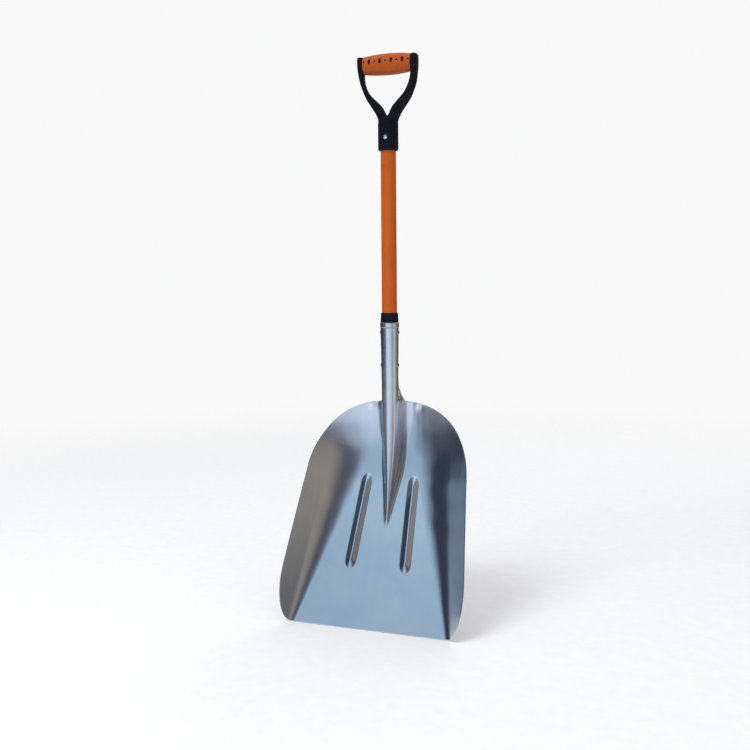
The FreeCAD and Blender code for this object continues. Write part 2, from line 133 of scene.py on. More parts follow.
FRONT_WAY = (0.0, -1.0, 0.35)           # below, it looks this way
SOCKET_R = 17.7
SOCKET_TOP_R = 19.3
SOCKET_LIP_R = 20.0
SOCKET_LIP_Z = 603.0
SOCKET_LIP_EASE = 1.8                   # the lip's ledge rises over this length on each side
SOCKET_TOP_Z = 613.0
MOUTH_ROUND = 0.7
MOUTH_EASE = 1.2
SEAM_HALF_ANGLE = 0.07                  # half of the socket's open seam, radians

# Shaft, collar, rivets
SHAFT_R = 16.0
SHAFT_WALL = 2.8
SHAFT_LOW_Z = 493.0
SHAFT_TOP_Z = 1010.0
COLLAR_LOW_Z = 560.0
COLLAR_TOP_Z = 633.5
COLLAR_R = 19.0
COLLAR_TOP_R = 18.0
COLLAR_FOOT_R = 16.8
COLLAR_STRAIGHT = 3.0                   # height of the collar's rim above the socket's mouth
FIT = 0.05
RIVETS = {"socket_rivet_upper": 592.0, "socket_rivet_lower": 522.5}
RIVET_R = 3.0
RIVET_HEAD_R = 5.6
RIVET_HEAD_H = 2.2
GRIP_RIVET_Z = 993.5
GRIP_RIVET_HEAD_R = 4.3

# Grip
NECK_R = 21.1
NECK_ROUND = 4.0
NECK_CHAMFER = 1.2
NECK_BASE_Z = 967.0
NECK_SHOULDER_Z = 1020.5
NECK_DOME = 18.0
BAR_Z = 1141.0
BAR_HALF = 51.0
BAR_HALF_HEIGHT = 21.5
BAR_END_HALF_HEIGHT = 17.5
BAR_HALF_DEPTH = 17.5
BAR_END_HALF_DEPTH = 14.5
BAR_RIM = 1.2                           # rounding of the sleeve's rims
BAR_RIM_SHARE = 0.023                   # and the part of the half-length that it takes
CORE_R = 11.0
MARK_PITCH = 11.8
MARK_COUNT = 9
MARK_RISE = 4.6
MARK_DOT_R = 1.8
MARK_OVAL_R = 2.8
MARK_OVAL_LENGTH = 10.5
MARK_DEPTH = 2.6
MARK_EDGE = 0.25
# Stations up one arm: x, height, half-thickness, half-depth and twist in degrees
ARM = (
    (4.0, 1005.0, 15.0, 18.0, 0.0),
    (8.8, 1028.0, 11.6, 16.4, 4.0),
    (13.0, 1038.0, 9.9, 15.6, 9.0),
    (19.4, 1050.0, 9.6, 14.6, 16.0),
    (28.0, 1060.5, 7.8, 13.8, 22.0),
    (37.0, 1071.0, 6.0, 13.2, 23.0),
    (44.5, 1082.0, 5.3, 12.6, 20.0),
    (53.0, 1102.0, 5.3, 12.0, 12.0),
    (56.6, 1123.0, 5.6, 12.2, 4.0),
    (56.9, 1141.0, 6.9, 13.6, 0.0),
    (56.9, 1154.5, 6.7, 13.4, 0.0),
)
EAR_TOP_Z = 1157.8
EAR_STEPS = (0.35, 0.6, 0.8, 0.9, 0.96, 0.99)   # shares of the ear's height where its sections stand
EAR_POWER = 5
ARM_SQUARENESS = 0.85                   # power of the section: 1 is an ellipse, less is boxier
EAR_SQUARENESS = 0.5
SQUARING_Z = (1070.0, 1125.0)

# Mesh density
STRIP_COLUMNS = 76
WING_COLUMNS = (12, 20, 100)            # inside the rib, over it, and outside it
WING_INNER_ROOM = 0.25                  # most of a wing's width for the first, where the wing is narrow
WING_RIB_ROOM = 0.3                     # and for the second
SHAFT_STEPS = 96                        # round the shaft and the collar
GRIP_STEPS = 72                         # round the grip's neck and core
ARM_STEPS = 36
RIVET_STEPS = 40
SLEEVE_STEPS = 260
SLEEVE_ROWS = 301
OUTLINE_ROWS = (84, 136, 190)           # rounded corners, straight sides, crown
SOCKET_ROW = 1.6                        # height of the socket's mesh rows
LEDGE_ROWS = (-1.5, -0.9, -0.4, 0.1, 0.6, 1.1, 1.8)
MOUTH_ROWS = (-1.1, -0.7, -0.3, 0.0)
SKIN_VOXEL = 0.0009                     # metres

FLOOR_DROP = 0.0015                     # the pale floor lies this far under the lip, metres


def place(points):
    """Millimetre points above the lip as metres in the frame."""
    out = np.array(points, float) * MM
    out[..., 2] += LIP_Z
    return out


def mesh_object(name, points, faces, smooth=True):
    """Object from millimetre points and faces, with its normals turned outwards."""
    mesh = bpy.data.meshes.new(name)
    mesh.from_pydata([tuple(v) for v in place(points)], [], [tuple(int(i) for i in f) for f in faces])
    bm = bmesh.new()
    bm.from_mesh(mesh)
    bmesh.ops.remove_doubles(bm, verts=bm.verts, dist=2e-6)
    bmesh.ops.recalc_face_normals(bm, faces=bm.faces)
    bm.to_mesh(mesh)
    bm.free()
    if smooth:
        mesh.polygons.foreach_set("use_smooth", [True] * len(mesh.polygons))
    obj = bpy.data.objects.new(name, mesh)
    bpy.context.scene.collection.objects.link(obj)
    return obj


def numbered(points, start=0):
    """Vertex numbers of a grid of points, in the grid's own rows and columns."""
    return start + np.arange(points.shape[0] * points.shape[1]).reshape(points.shape[:2])


def closed(grid, axis):
    """The grid with its first row or column again at its end."""
    return np.concatenate([grid, grid.take([0], axis)], axis)


def quads(grid):
    """Faces between the neighbouring rows and columns of a grid of vertex numbers."""
    return np.stack([grid[:-1, :-1], grid[:-1, 1:], grid[1:, 1:], grid[1:, :-1]], -1).reshape(-1, 4)


def looped(points):
    """Faces of a grid of points that closes on itself both ways."""
    return quads(closed(closed(numbered(points), 0), 1))


def eased(value, low, high):
    """Share from 0 to 1 that eases in and out between low and high."""
    t = np.clip((np.asarray(value, float) - low) / (high - low), 0.0, 1.0)
    return t * t * (3.0 - 2.0 * t)


# Camera ------------------------------------------------------------------------------------------

def make_camera():
    """Camera in front of the shovel and a little to its right, looking slightly down at its middle."""
    azimuth = math.radians(18.84)
    elevation = math.radians(6.36)
    roll = math.radians(-0.53)
    distance = 1.91
    target = Vector((-0.0336, 0.0, LIP_Z + 0.5003))
    back = Vector((
        math.sin(azimuth) * math.cos(elevation),
        -math.cos(azimuth) * math.cos(elevation),
        math.sin(elevation)))
    data = bpy.data.cameras.new("camera")
    data.sensor_width = 36.0
    data.lens = 42.88
    camera = bpy.data.objects.new("camera", data)
    bpy.context.scene.collection.objects.link(camera)
    turn = back.to_track_quat("Z", "Y").to_matrix().to_4x4()
    camera.matrix_world = Matrix.Translation(target + back * distance) @ turn @ Matrix.Rotation(roll, 4, "Z")
    bpy.context.scene.camera = camera


# Blade -------------------------------------------------------------------------------------------

def past_floor(x, s):
    """How far a point stands outside the flat floor; negative on the floor."""
    return np.abs(x) - (FLOOR_HALF - FLOOR_TAPER * s)


def tray(x, s):
    """Height of the sheet's back over the floor plane: flat floor, bend, side wall and rear bowl."""
    out = np.maximum(past_floor(x, s), 0.0)
    bend = FILLET + FILLET_GROWTH * s
    slope = WALL_SLOPE - WALL_SLOPE_LOSS * s - np.where(x < 0.0, SLACK, 0.0) * eased(s, *SLACK_S)
    wall = np.where(out < bend, slope * out ** 2 / (2.0 * bend), slope * (out - bend / 2.0))
    return wall + BOWL_RATE * np.maximum(s - BOWL_START, 0.0) ** 2


def rib_rise(x, s):
    """Height of the pressed rib at one point of a wing."""
    run = RIB_HIGH_S - RIB_LOW_S
    lean = math.atan2(RIB_LOW_X - RIB_HIGH_X, run)
    dx = np.abs(x) - (RIB_LOW_X + RIB_HIGH_X) / 2
    ds = s - (RIB_LOW_S + RIB_HIGH_S) / 2
    along = ds * math.cos(lean) - dx * math.sin(lean)
    across = np.abs(dx * math.cos(lean) + ds * math.sin(lean)) / RIB_HALF
    straight = math.hypot(run, RIB_LOW_X - RIB_HIGH_X) / 2 - RIB_RUN_OUT + RIB_OVERRUN
    past = np.maximum(np.abs(along) - straight, 0.0) / RIB_RUN_OUT
    reach = np.hypot(across, past)
    cut = RIB_CREST * 0.5
    flank = (1.0 - reach) / (1.0 - cut)
    top = 1.0 - (np.minimum(reach, RIB_CREST) / RIB_CREST) ** 2 * cut / (1.0 - cut)
    return RIB_RISE * np.clip(np.where(reach < RIB_CREST, top, flank), 0.0, 1.0)


def swell_rise(x, s):
    """Low swell of the sheet beside the spine, near the blade's top edge."""
    width = SWELL_WIDTH * eased(s, *SWELL_WIDTH_S) + 0.01     # never quite zero, to divide by
    out = np.clip((np.abs(x) - spine_foot_at(s, np.sign(x))) / width, 0.0, 1.0)
    return SWELL_RISE * eased(s, *SWELL_RISE_S) * (1.0 - out) ** SWELL_POWER


def dents(x, s):
    """Hand-worked unevenness of the side walls and the crumples beside the neck."""
    left = x < 0.0
    out = past_floor(x, s)
    band = eased(out, *WALL_BAND)
    phase = np.where(left, 0.0, RIGHT_PHASE)
    wave = sum(
        height * np.sin(s / up + x / across + share * phase)
        for height, up, across, share in WALL_WAVES)
    upper = eased(s, 120.0, 260.0) * (1.0 - 0.5 * eased(s, 400.0, 470.0))
    ripple = np.where(left, *WALL_RISE) * band * wave * (0.35 + 0.65 * upper)
    ripple += np.where(left, 0.0, 0.16) * band * np.sin(s / 13.0 + x / 12.0) * np.sin(s / 37.0 + 2.0)
    hammered = eased(s, 225.0, 290.0) * (1.0 - eased(s, 370.0, 410.0)) * eased(out, 45.0, 75.0)
    ripple += np.where(left, *HAMMER_RISE) * hammered * np.sin(s / HAMMER_LENGTH + 0.8 * np.sin(x / 9.0))
    broad = BROAD_RISE * np.sin(x / 47.0 + 0.4) * np.sin(s / 71.0 + 1.1) * eased(s, 20.0, 120.0)
    fold = sum(
        height * np.exp(-((x - at_x) / half) ** 2 - ((s - at_s) / CRUMPLE_LENGTH) ** 2)
        for height, at_x, at_s, half in CRUMPLES)
    return ripple + broad + fold


def outline_half(s):
    """Half-width of the blade's outline."""
    full = SIDE_HALF - SIDE_TAPER * s
    low = np.clip(1.0 - s / CORNER_LENGTH, 0.0, 1.0)
    tuck = (1.0 - LIP_HALF / SIDE_HALF) * (1.0 - np.sqrt(1.0 - low ** 2))
    t = np.clip((s - SHOULDER_S) / CROWN, 0.0, 1.0)
    return full * (1.0 - tuck) * np.maximum(1.0 - t ** CROWN_POWER, 0.0) ** (1.0 / CROWN_POWER)


def stood_z(s, h):
    """Height of a point of the blade's plane once it stands on the shovel."""
    return s * math.cos(LIFT) + h * math.sin(LIFT)


def plain_front(x, s):
    """Front of the sheet without ribs, with its thickness square to the sheet."""
    step = 0.5
    across = (tray(x + step, s) - tray(x - step, s)) / (2.0 * step)
    along = (tray(x, s + step) - tray(x, s - step)) / (2.0 * step)
    return tray(x, s) + SHEET * np.sqrt(1.0 + across ** 2 + along ** 2)


def sheet_point(x, s):
    """One point of the pressed front, in its place on the shovel."""
    x, s = np.broadcast_arrays(np.asarray(x, float), np.asarray(s, float))
    h = plain_front(x, s) + rib_rise(x, s) + swell_rise(x, s) + dents(x, s)
    y = LIP_Y + s * math.sin(LIFT) - h * math.cos(LIFT)
    return np.stack([x, y, stood_z(s, h)], -1)


def spine_half(z):
    """Half-width of the spine where it meets the floor."""
    return SPINE_FOOT_HALF + (SPINE_HALF - SPINE_FOOT_HALF) * eased(z, SPINE_TIP_Z, SPINE_WIDE_Z)


def spine_shift(z):
    """How far the spine wanders off the middle towards its tip."""
    return SPINE_SHIFT * (1.0 - eased(z, SPINE_TIP_Z, SPINE_STRAIGHT_Z))


def middle_z(s):
    """Height of the plain floor on the middle line."""
    return stood_z(s, plain_front(np.zeros_like(s), s))


def spine_foot_at(s, side):
    """Distance from the middle to the spine's foot on one side, by distance up the floor."""
    z = middle_z(s)
    return spine_half(z) + side * spine_shift(z)


def tube_radius(z):
    """Radius of the rolled socket, with the ledge of its lip and its rounded mouth."""
    widen = min(max(0.0, z - NECK_TOP_Z) / (SOCKET_LIP_Z - NECK_TOP_Z), 1.0)
    tube = SOCKET_R + (SOCKET_TOP_R - SOCKET_R) * widen
    ledge = eased(z, SOCKET_LIP_Z - SOCKET_LIP_EASE, SOCKET_LIP_Z + SOCKET_LIP_EASE)
    mouth = eased(z, SOCKET_TOP_Z - MOUTH_EASE, SOCKET_TOP_Z)
    tube += (SOCKET_LIP_R - tube) * float(ledge)
    return tube - MOUTH_ROUND * float(mouth) ** 2


def spine_row(z, seat, columns):
    """Front of the spine at one height, from its left foot over the crest to its right foot.

    seat holds the left and right feet on the sheet; above the blade it is None."""
    t = np.abs(columns)
    half = float(spine_half(z))
    rear = NECK_REAR_Y if seat is None else min(float(seat[0][1] + seat[1][1]) / 2, NECK_REAR_Y)
    radius = SPINE_TIP_R + (SOCKET_R - SPINE_TIP_R) * float(eased(z, SPINE_TIP_Z, SPINE_ROUND_Z))
    lean = max(SPINE_TOP_Z - z, 0.0) / (SPINE_TOP_Z - SPINE_TIP_Z)
    crest = min(-SOCKET_R - SPINE_LEAN * lean ** 2, rear)
    depth = max(rear - crest, SPINE_LEAST_RISE * float(eased(z - SPINE_TIP_Z, *SPINE_RUN_IN)))
    crest = rear - depth
    turn = np.clip(t / ARC_SHARE, 0.0, 1.0) * math.pi / 2
    u = np.clip((t - ARC_SHARE) / (1.0 - ARC_SHARE), 0.0, 1.0)
    waist = min(radius, depth * SPINE_WAIST)
    flank = radius + (half - radius) * (0.5 * u ** 1.6 + 0.5 * u ** 5)
    open_x = np.where(t < ARC_SHARE, radius * np.sin(turn), flank)
    open_y = crest + np.where(t < ARC_SHARE, waist * (1.0 - np.cos(turn)), waist + (depth - waist) * u)
    around = t * (math.pi - SEAM_HALF_ANGLE)
    tube = tube_radius(z)
    closing = float(np.interp(z, *zip(*NECK_CLOSING)))
    x = open_x + (tube * np.sin(around) - open_x) * closing
    y = open_y + (-tube * np.cos(around) - open_y) * closing
    row = np.stack([np.sign(columns) * x + float(spine_shift(z)), y, np.full_like(t, z)], -1)
    if seat is not None:
        pull = t[:, None] ** 6
        feet = np.where(columns[:, None] < 0.0, seat[0][None, :], seat[1][None, :])
        ends = np.where(columns[:, None] < 0.0, row[0][None, :], row[-1][None, :])
        row = row + pull * (feet - ends)
    return row


def wing_row(side, s):
    """Points of one wing at one distance up the floor, from past the spine's foot to the outline."""
    inner = float(spine_foot_at(np.array(s), side))
    outer = float(outline_half(np.array(s)))
    rib = RIB_LOW_X + (RIB_HIGH_X - RIB_LOW_X) * (s - RIB_LOW_S) / (RIB_HIGH_S - RIB_LOW_S)
    room = outer - inner
    low = min(rib - RIB_HALF, inner + room * WING_INNER_ROOM)
    high = min(rib + RIB_HALF, low + room * WING_RIB_ROOM)
    shares = np.concatenate([i + np.linspace(0, 1, count + 1)[1:] for i, count in enumerate(WING_COLUMNS)])
    return sheet_point(side * np.interp(shares, [0, 1, 2, 3], [inner, low, high, outer]), s)


def blade_rows():
    """Distances up the floor of the mesh rows, closer where the outline turns."""
    corners, sides, crown = OUTLINE_ROWS
    turn = math.pi / 2
    s = np.concatenate([
        CORNER_LENGTH * (1.0 - np.cos(np.linspace(0.0, turn, corners))),
        np.linspace(CORNER_LENGTH, SHOULDER_S, sides)[1:],
        SHOULDER_S + CROWN * np.sin(np.linspace(0.0, turn, crown)[1:]) ** (2.0 / CROWN_POWER)])
    return s[outline_half(s) > SPINE_HALF + 1.0]


def socket_rows(top):
    """Heights of the mesh rows above the blade, closer at the socket's ledge and mouth."""
    return np.concatenate([
        np.arange(top + 1.5, SOCKET_LIP_Z - 2.0, SOCKET_ROW), SOCKET_LIP_Z + np.array(LEDGE_ROWS),
        np.arange(SOCKET_LIP_Z + 3.0, SOCKET_TOP_Z - 1.5, SOCKET_ROW), SOCKET_TOP_Z + np.array(MOUTH_ROWS)])


def front_grid():
    """Vertices and quads of the blade's front: the middle strip with its socket, and two wings."""
    rows = blade_rows()
    columns = np.linspace(-1.0, 1.0, STRIP_COLUMNS + 1)
    strip = []
    for s in rows:
        z = float(middle_z(np.array(s)))
        half = float(spine_half(z))
        shift = float(spine_shift(z))
        strip.append(spine_row(z, sheet_point(np.array([shift - half, shift + half]), s), columns))
    top = float(sheet_point(0.0, rows[-1])[2])
    strip += [spine_row(float(z), None, columns) for z in socket_rows(top)]
    strip = np.stack(strip)
    numbers = numbered(strip)
    verts = [strip.reshape(-1, 3)]
    faces = [quads(numbers)]
    used = numbers.size
    for side in (-1, 1):
        wing = np.stack([wing_row(side, s) for s in rows])
        foot = numbers[:len(rows), 0 if side < 0 else -1]
        faces.append(quads(np.column_stack([foot, numbered(wing, used)])))
        verts.append(wing.reshape(-1, 3))
        used += wing.shape[0] * wing.shape[1]
    return np.concatenate(verts), np.concatenate(faces)


def face_normals(verts, faces):
    """Normals of quads, as long as twice their areas."""
    a, b, c, d = (verts[faces[:, i]] for i in range(4))
    return np.cross(c - a, d - b)


def turned_forward(verts, faces):
    """The faces, with those reversed that look backwards or into the socket."""
    centre = verts[faces].mean(1)
    axis = np.stack([centre[:, 0], centre[:, 1], np.zeros(len(faces))], -1)
    outward = np.where(centre[:, 2:] > TUBE_LOW_Z, axis, np.array(FRONT_WAY))
    wrong = (face_normals(verts, faces) * outward).sum(1) < 0.0
    return np.where(wrong[:, None], faces[:, ::-1], faces)


def border(faces):
    """Edges that only one face has, in that face's direction."""
    edges = {}
    for face in faces:
        for i in range(4):
            p, q = int(face[i]), int(face[(i + 1) % 4])
            if (q, p) in edges:
                del edges[(q, p)]
            else:
                edges[(p, q)] = True
    return list(edges)


def unit(vector):
    return vector / max(np.linalg.norm(vector), 1e-12)


def shell(name, verts, faces, thickness):
    """Closed sheet behind a front surface, with rounded rims."""
    normals = np.zeros_like(verts)
    for i in range(4):
        np.add.at(normals, faces[:, i], face_normals(verts, faces))
    normals /= np.maximum(np.linalg.norm(normals, axis=1), 1e-12)[:, None]
    edges = border(faces)
    outward = {}
    for p, q in edges:
        side = unit(np.cross(verts[q] - verts[p], normals[p] + normals[q]))
        for v in (p, q):
            outward[v] = outward.get(v, np.zeros(3)) + side
    count = len(verts)
    rim = {}
    extra = []
    for v, side in outward.items():
        rim[v] = 2 * count + len(extra)
        for drop, reach in RIM:
            extra.append(verts[v] - normals[v] * thickness * drop + unit(side) * thickness * reach)
    own = [tuple(f) for f in faces] + [tuple(count + i for i in reversed(f)) for f in faces]
    for p, q in edges:
        left = [p, rim[p], rim[p] + 1, rim[p] + 2, count + p]
        right = [q, rim[q], rim[q] + 1, rim[q] + 2, count + q]
        own += [(right[i], left[i], left[i + 1], right[i + 1]) for i in range(4)]
    return mesh_object(name, np.concatenate([verts, verts - normals * thickness, np.array(extra)]), own)


def blade():
    verts, faces = front_grid()
    return shell("blade_shell", verts, turned_forward(verts, faces), SHEET)


# Turned pieces -----------------------------------------------------------------------------------

def spun(profile, steps):
    """Grid of points: (radius, height) pairs turned about the upright axis, a row for each step."""
    radius, height = np.array(profile, float).T
    turn = 2.0 * math.pi * np.arange(steps) / steps
    tall = np.broadcast_to(height, (steps, len(profile)))
    return np.stack([np.outer(np.cos(turn), radius), np.outer(np.sin(turn), radius), tall], -1)


def turned(name, loop):
    """Ring about the shaft's axis from a closed loop of (radius, height)."""
    points = spun(loop, SHAFT_STEPS)
    return mesh_object(name, points.reshape(-1, 3), looped(points))


def softened(points, radius, steps=4):
    """The closed profile with each corner rounded."""
    out = []
    count = len(points)
    for i in range(count):
        p = Vector(points[i])
        before = Vector(points[i - 1])
        after = Vector(points[(i + 1) % count])
        reach_in = min(radius, (before - p).length * 0.45)
        reach_out = min(radius, (after - p).length * 0.45)
        start = p + (before - p).normalized() * reach_in
        end = p + (after - p).normalized() * reach_out
        for k in range(steps + 1):
            t = k / steps
            q = start * (1 - t) ** 2 + p * 2 * t * (1 - t) + end * t * t
            out.append((q.x, q.y))
    return out


def divided(points, longest):
    """The closed profile with its long runs cut into shorter ones."""
    out = []
    for i, p in enumerate(points):
        q = points[(i + 1) % len(points)]
        pieces = max(1, int(math.hypot(q[0] - p[0], q[1] - p[1]) / longest))
        for k in range(pieces):
            out.append((p[0] + (q[0] - p[0]) * k / pieces, p[1] + (q[1] - p[1]) * k / pieces))
    return out


def shaft():
    inside = SHAFT_R - SHAFT_WALL
    loop = [(inside, SHAFT_LOW_Z), (SHAFT_R, SHAFT_LOW_Z), (SHAFT_R, SHAFT_TOP_Z), (inside, SHAFT_TOP_Z)]
    return turned("shaft_tube", divided(softened(loop, 0.8), 12.0))


def collar():
    inside = SHAFT_R + FIT
    foot = SOCKET_TOP_Z + FIT
    loop = [
        (inside, COLLAR_LOW_Z), (COLLAR_FOOT_R, COLLAR_LOW_Z), (SOCKET_TOP_R - SHEET, foot),
        (COLLAR_R, foot), (COLLAR_R, SOCKET_TOP_Z + COLLAR_STRAIGHT), (COLLAR_TOP_R, COLLAR_TOP_Z),
        (inside, COLLAR_TOP_Z)]
    return turned("collar_ring", divided(softened(loop, 0.9), 6.0))


def rivet(name, z, lie, reach, head_r):
    """Rivet with two low domed heads that bed on a round wall; it lies along X (lie 1) or Y (lie 2)."""
    ball = (head_r ** 2 + RIVET_HEAD_H ** 2) / (2.0 * RIVET_HEAD_H)
    half = [(0.0, reach + RIVET_HEAD_H)]
    for r in np.linspace(0.0, head_r, 10)[1:]:
        half.append((r, reach + RIVET_HEAD_H - ball + math.sqrt(ball ** 2 - r ** 2)))
    half += [(head_r + 0.1, reach - 0.3), (head_r - 0.2, reach - 0.9), (RIVET_R, reach - 0.9)]
    points = spun(half + [(r, -h) for r, h in reversed(half)], RIVET_STEPS)
    faces = quads(closed(numbered(points), 0))
    return mesh_object(name, (np.roll(points, lie, -1) + (0.0, 0.0, z)).reshape(-1, 3), faces)


# Grip --------------------------------------------------------------------------------------------

def catmull(points, steps):
    """Smooth run of points through the stations."""
    points = np.array(points, float)
    padded = np.concatenate([2 * points[:1] - points[1:2], points, 2 * points[-1:] - points[-2:-1]])
    out = []
    for i in range(len(points) - 1):
        p0, p1, p2, p3 = padded[i:i + 4]
        for k in range(steps):
            t = k / steps
            out.append(0.5 * (2 * p1 + (p2 - p0) * t + (2 * p0 - 5 * p1 + 4 * p2 - p3) * t ** 2
                              + (3 * p1 - p0 - 3 * p2 + p3) * t ** 3))
    out.append(points[-1])
    return np.array(out)


def signed_power(values, power):
    """Power of the sizes of the values, which keep their signs."""
    return np.sign(values) * np.abs(values) ** power


def arm_rings(side):
    """Grid of points of one arm, a ring for each station, from inside the neck to the ear's top."""
    run = catmull(ARM, 6)
    x, z, half_t, half_d, twist = run[-1]
    dome = []
    for k in EAR_STEPS:
        shrink = math.sqrt(1.0 - k ** EAR_POWER)
        dome.append([x, z + (EAR_TOP_Z - z) * k, half_t * shrink, half_d * shrink, twist])
    run = np.concatenate([run, np.array(dome)])
    x, z, half_t, half_d, twist = run.T
    dx = np.gradient(x)
    dz = np.gradient(z)
    length = np.hypot(dx, dz)
    turn = 2.0 * math.pi * np.arange(ARM_STEPS) / ARM_STEPS
    deep = np.array([0.0, 1.0, 0.0])
    rings = []
    for i in range(len(run)):
        out_way = np.array([dz[i] / length[i], 0.0, -dx[i] / length[i]])
        tau = math.radians(twist[i])
        thin = out_way * math.cos(tau) - deep * math.sin(tau)
        wide = deep * math.cos(tau) + out_way * math.sin(tau)
        squareness = ARM_SQUARENESS + (EAR_SQUARENESS - ARM_SQUARENESS) * float(eased(z[i], *SQUARING_Z))
        ring = np.outer(signed_power(np.cos(turn), squareness) * half_t[i], thin)
        ring += np.outer(signed_power(np.sin(turn), squareness) * half_d[i], wide)
        rings.append((ring + (x[i], 0.0, z[i])) * (side, 1.0, 1.0))
    return np.stack(rings)


def neck_rows():
    """Grid of points of the grip's neck, turned about the shaft's axis."""
    profile = [
        (0.0, NECK_BASE_Z), (NECK_R - NECK_ROUND, NECK_BASE_Z),
        (NECK_R - NECK_CHAMFER, NECK_BASE_Z + NECK_CHAMFER), (NECK_R, NECK_BASE_Z + NECK_ROUND)]
    for degrees in range(0, 90, 6):
        turn = math.radians(degrees)
        profile.append((NECK_R * math.cos(turn), NECK_SHOULDER_Z + NECK_DOME * math.sin(turn)))
    return spun(profile + [(0.0, NECK_SHOULDER_Z + NECK_DOME)], GRIP_STEPS)


def grip_frame():
    """Neck, two arms and core as one moulding: separate closed forms, remeshed into one skin."""
    reach = ARM[-1][0]
    neck = neck_rows()
    core = np.roll(spun([(CORE_R, -reach), (CORE_R, reach)], GRIP_STEPS), 1, -1) + (0.0, 0.0, BAR_Z)
    points = [neck.reshape(-1, 3)]
    faces = [tuple(f) for f in quads(closed(numbered(neck), 0))]
    used = len(points[0])
    for rings in (arm_rings(1), arm_rings(-1), core.swapaxes(0, 1)):
        numbers = numbered(rings, used)
        faces += [tuple(f) for f in quads(closed(numbers, 1))] + [tuple(numbers[0]), tuple(numbers[-1])]
        points.append(rings.reshape(-1, 3))
        used += numbers.size
    obj = mesh_object("grip_moulding", np.concatenate(points), faces)
    remesh = obj.modifiers.new("remesh", "REMESH")
    remesh.mode = "VOXEL"
    remesh.voxel_size = SKIN_VOXEL
    smooth = obj.modifiers.new("smooth", "SMOOTH")
    smooth.factor = 0.5
    smooth.iterations = 22
    mesh = bpy.data.meshes.new_from_object(obj.evaluated_get(bpy.context.evaluated_depsgraph_get()))
    obj.modifiers.clear()
    obj.data = mesh
    mesh.polygons.foreach_set("use_smooth", [True] * len(mesh.polygons))
    return obj


def mark_depth(x, rise):
    """How deep the sleeve's pockets go at a place on its front, from 0 to 1."""
    depth = np.zeros_like(x)
    for i in range(MARK_COUNT):
        middle = MARK_PITCH * (i - (MARK_COUNT - 1) / 2)
        radius = MARK_DOT_R if i % 2 == 0 else MARK_OVAL_R
        stretch = 0.0 if i % 2 == 0 else MARK_OVAL_LENGTH / 2 - MARK_OVAL_R
        up = np.maximum(np.abs(rise - MARK_RISE) - stretch, 0.0)
        far = np.hypot(x - middle, up)
        depth = np.maximum(depth, 1.0 - eased(far, radius - MARK_EDGE, radius + MARK_EDGE))
    return depth


def grip_sleeve():
    """Barrel-shaped sleeve with pockets pressed into its front, bored for the core."""
    turn = np.linspace(0.0, 2.0 * math.pi, SLEEVE_STEPS, endpoint=False)
    forward = -np.cos(turn)
    up = np.sin(turn)
    rings = []
    for x in np.linspace(-BAR_HALF, BAR_HALF, SLEEVE_ROWS):
        out = abs(x) / BAR_HALF
        past = max(0.0, (out - (1.0 - BAR_RIM_SHARE)) / BAR_RIM_SHARE)
        rim = BAR_RIM * (1.0 - math.sqrt(max(0.0, 1.0 - past ** 2)))
        y = (BAR_HALF_DEPTH - (BAR_HALF_DEPTH - BAR_END_HALF_DEPTH) * out ** 2 - rim) * forward
        z = (BAR_HALF_HEIGHT - (BAR_HALF_HEIGHT - BAR_END_HALF_HEIGHT) * out ** 2 - rim) * up
        shrink = 1.0 - mark_depth(np.full_like(y, x), z) * (y < 0.0) * MARK_DEPTH / np.hypot(y, z)
        rings.append(np.stack([np.full_like(y, x), y * shrink, BAR_Z + z * shrink], -1))
    inner = CORE_R + FIT
    ends = (-BAR_HALF, BAR_HALF)
    bore = [np.stack([np.full_like(turn, x), inner * forward, BAR_Z + inner * up], -1) for x in ends]
    points = np.stack(bore[:1] + rings + bore[1:])
    return mesh_object("grip_sleeve_barrel", points.reshape(-1, 3), looped(points))


# Materials ---------------------------------------------------------------------------------------

def material(name):
    made = bpy.data.materials.new(name)
    made.use_nodes = True
    tree = made.node_tree
    return made, tree, tree.nodes["Principled BSDF"]


def noise(tree, scale, detail=3.0, stretch=(1.0, 1.0, 1.0)):
    """Noise over the object's own coordinates, in cycles per metre."""
    coords = tree.nodes.new("ShaderNodeTexCoord")
    mapping = tree.nodes.new("ShaderNodeMapping")
    mapping.inputs["Scale"].default_value = stretch
    tree.links.new(coords.outputs["Object"], mapping.inputs["Vector"])
    node = tree.nodes.new("ShaderNodeTexNoise")
    node.inputs["Scale"].default_value = scale
    node.inputs["Detail"].default_value = detail
    node.inputs["Roughness"].default_value = 0.55
    tree.links.new(mapping.outputs["Vector"], node.inputs["Vector"])
    return node.outputs["Fac"]


def ramp(tree, value, *stops):
    """Colours by value; each stop is (place, colour)."""
    node = tree.nodes.new("ShaderNodeValToRGB")
    elements = node.color_ramp.elements
    while len(elements) < len(stops):
        elements.new(0.5)
    for element, (place_at, colour) in zip(elements, stops):
        element.position = place_at
        element.color = (*colour, 1.0)
    tree.links.new(value, node.inputs["Fac"])
    return node.outputs["Color"]


def remapped(tree, value, low, high, start=0.0, end=1.0, kind="LINEAR"):
    """The value as it runs from start to end, turned into low to high."""
    node = tree.nodes.new("ShaderNodeMapRange")
    node.interpolation_type = kind
    for socket, number in (("From Min", start), ("From Max", end), ("To Min", low), ("To Max", high)):
        node.inputs[socket].default_value = number
    tree.links.new(value, node.inputs["Value"])
    return node.outputs["Result"]


def worked_out(tree, operation, first, second):
    """Result of a maths node on two values, each a number or a socket."""
    node = tree.nodes.new("ShaderNodeMath")
    node.operation = operation
    for socket, value in zip(node.inputs, (first, second)):
        if isinstance(value, float):
            socket.default_value = value
        else:
            tree.links.new(value, socket)
    return node.outputs[0]


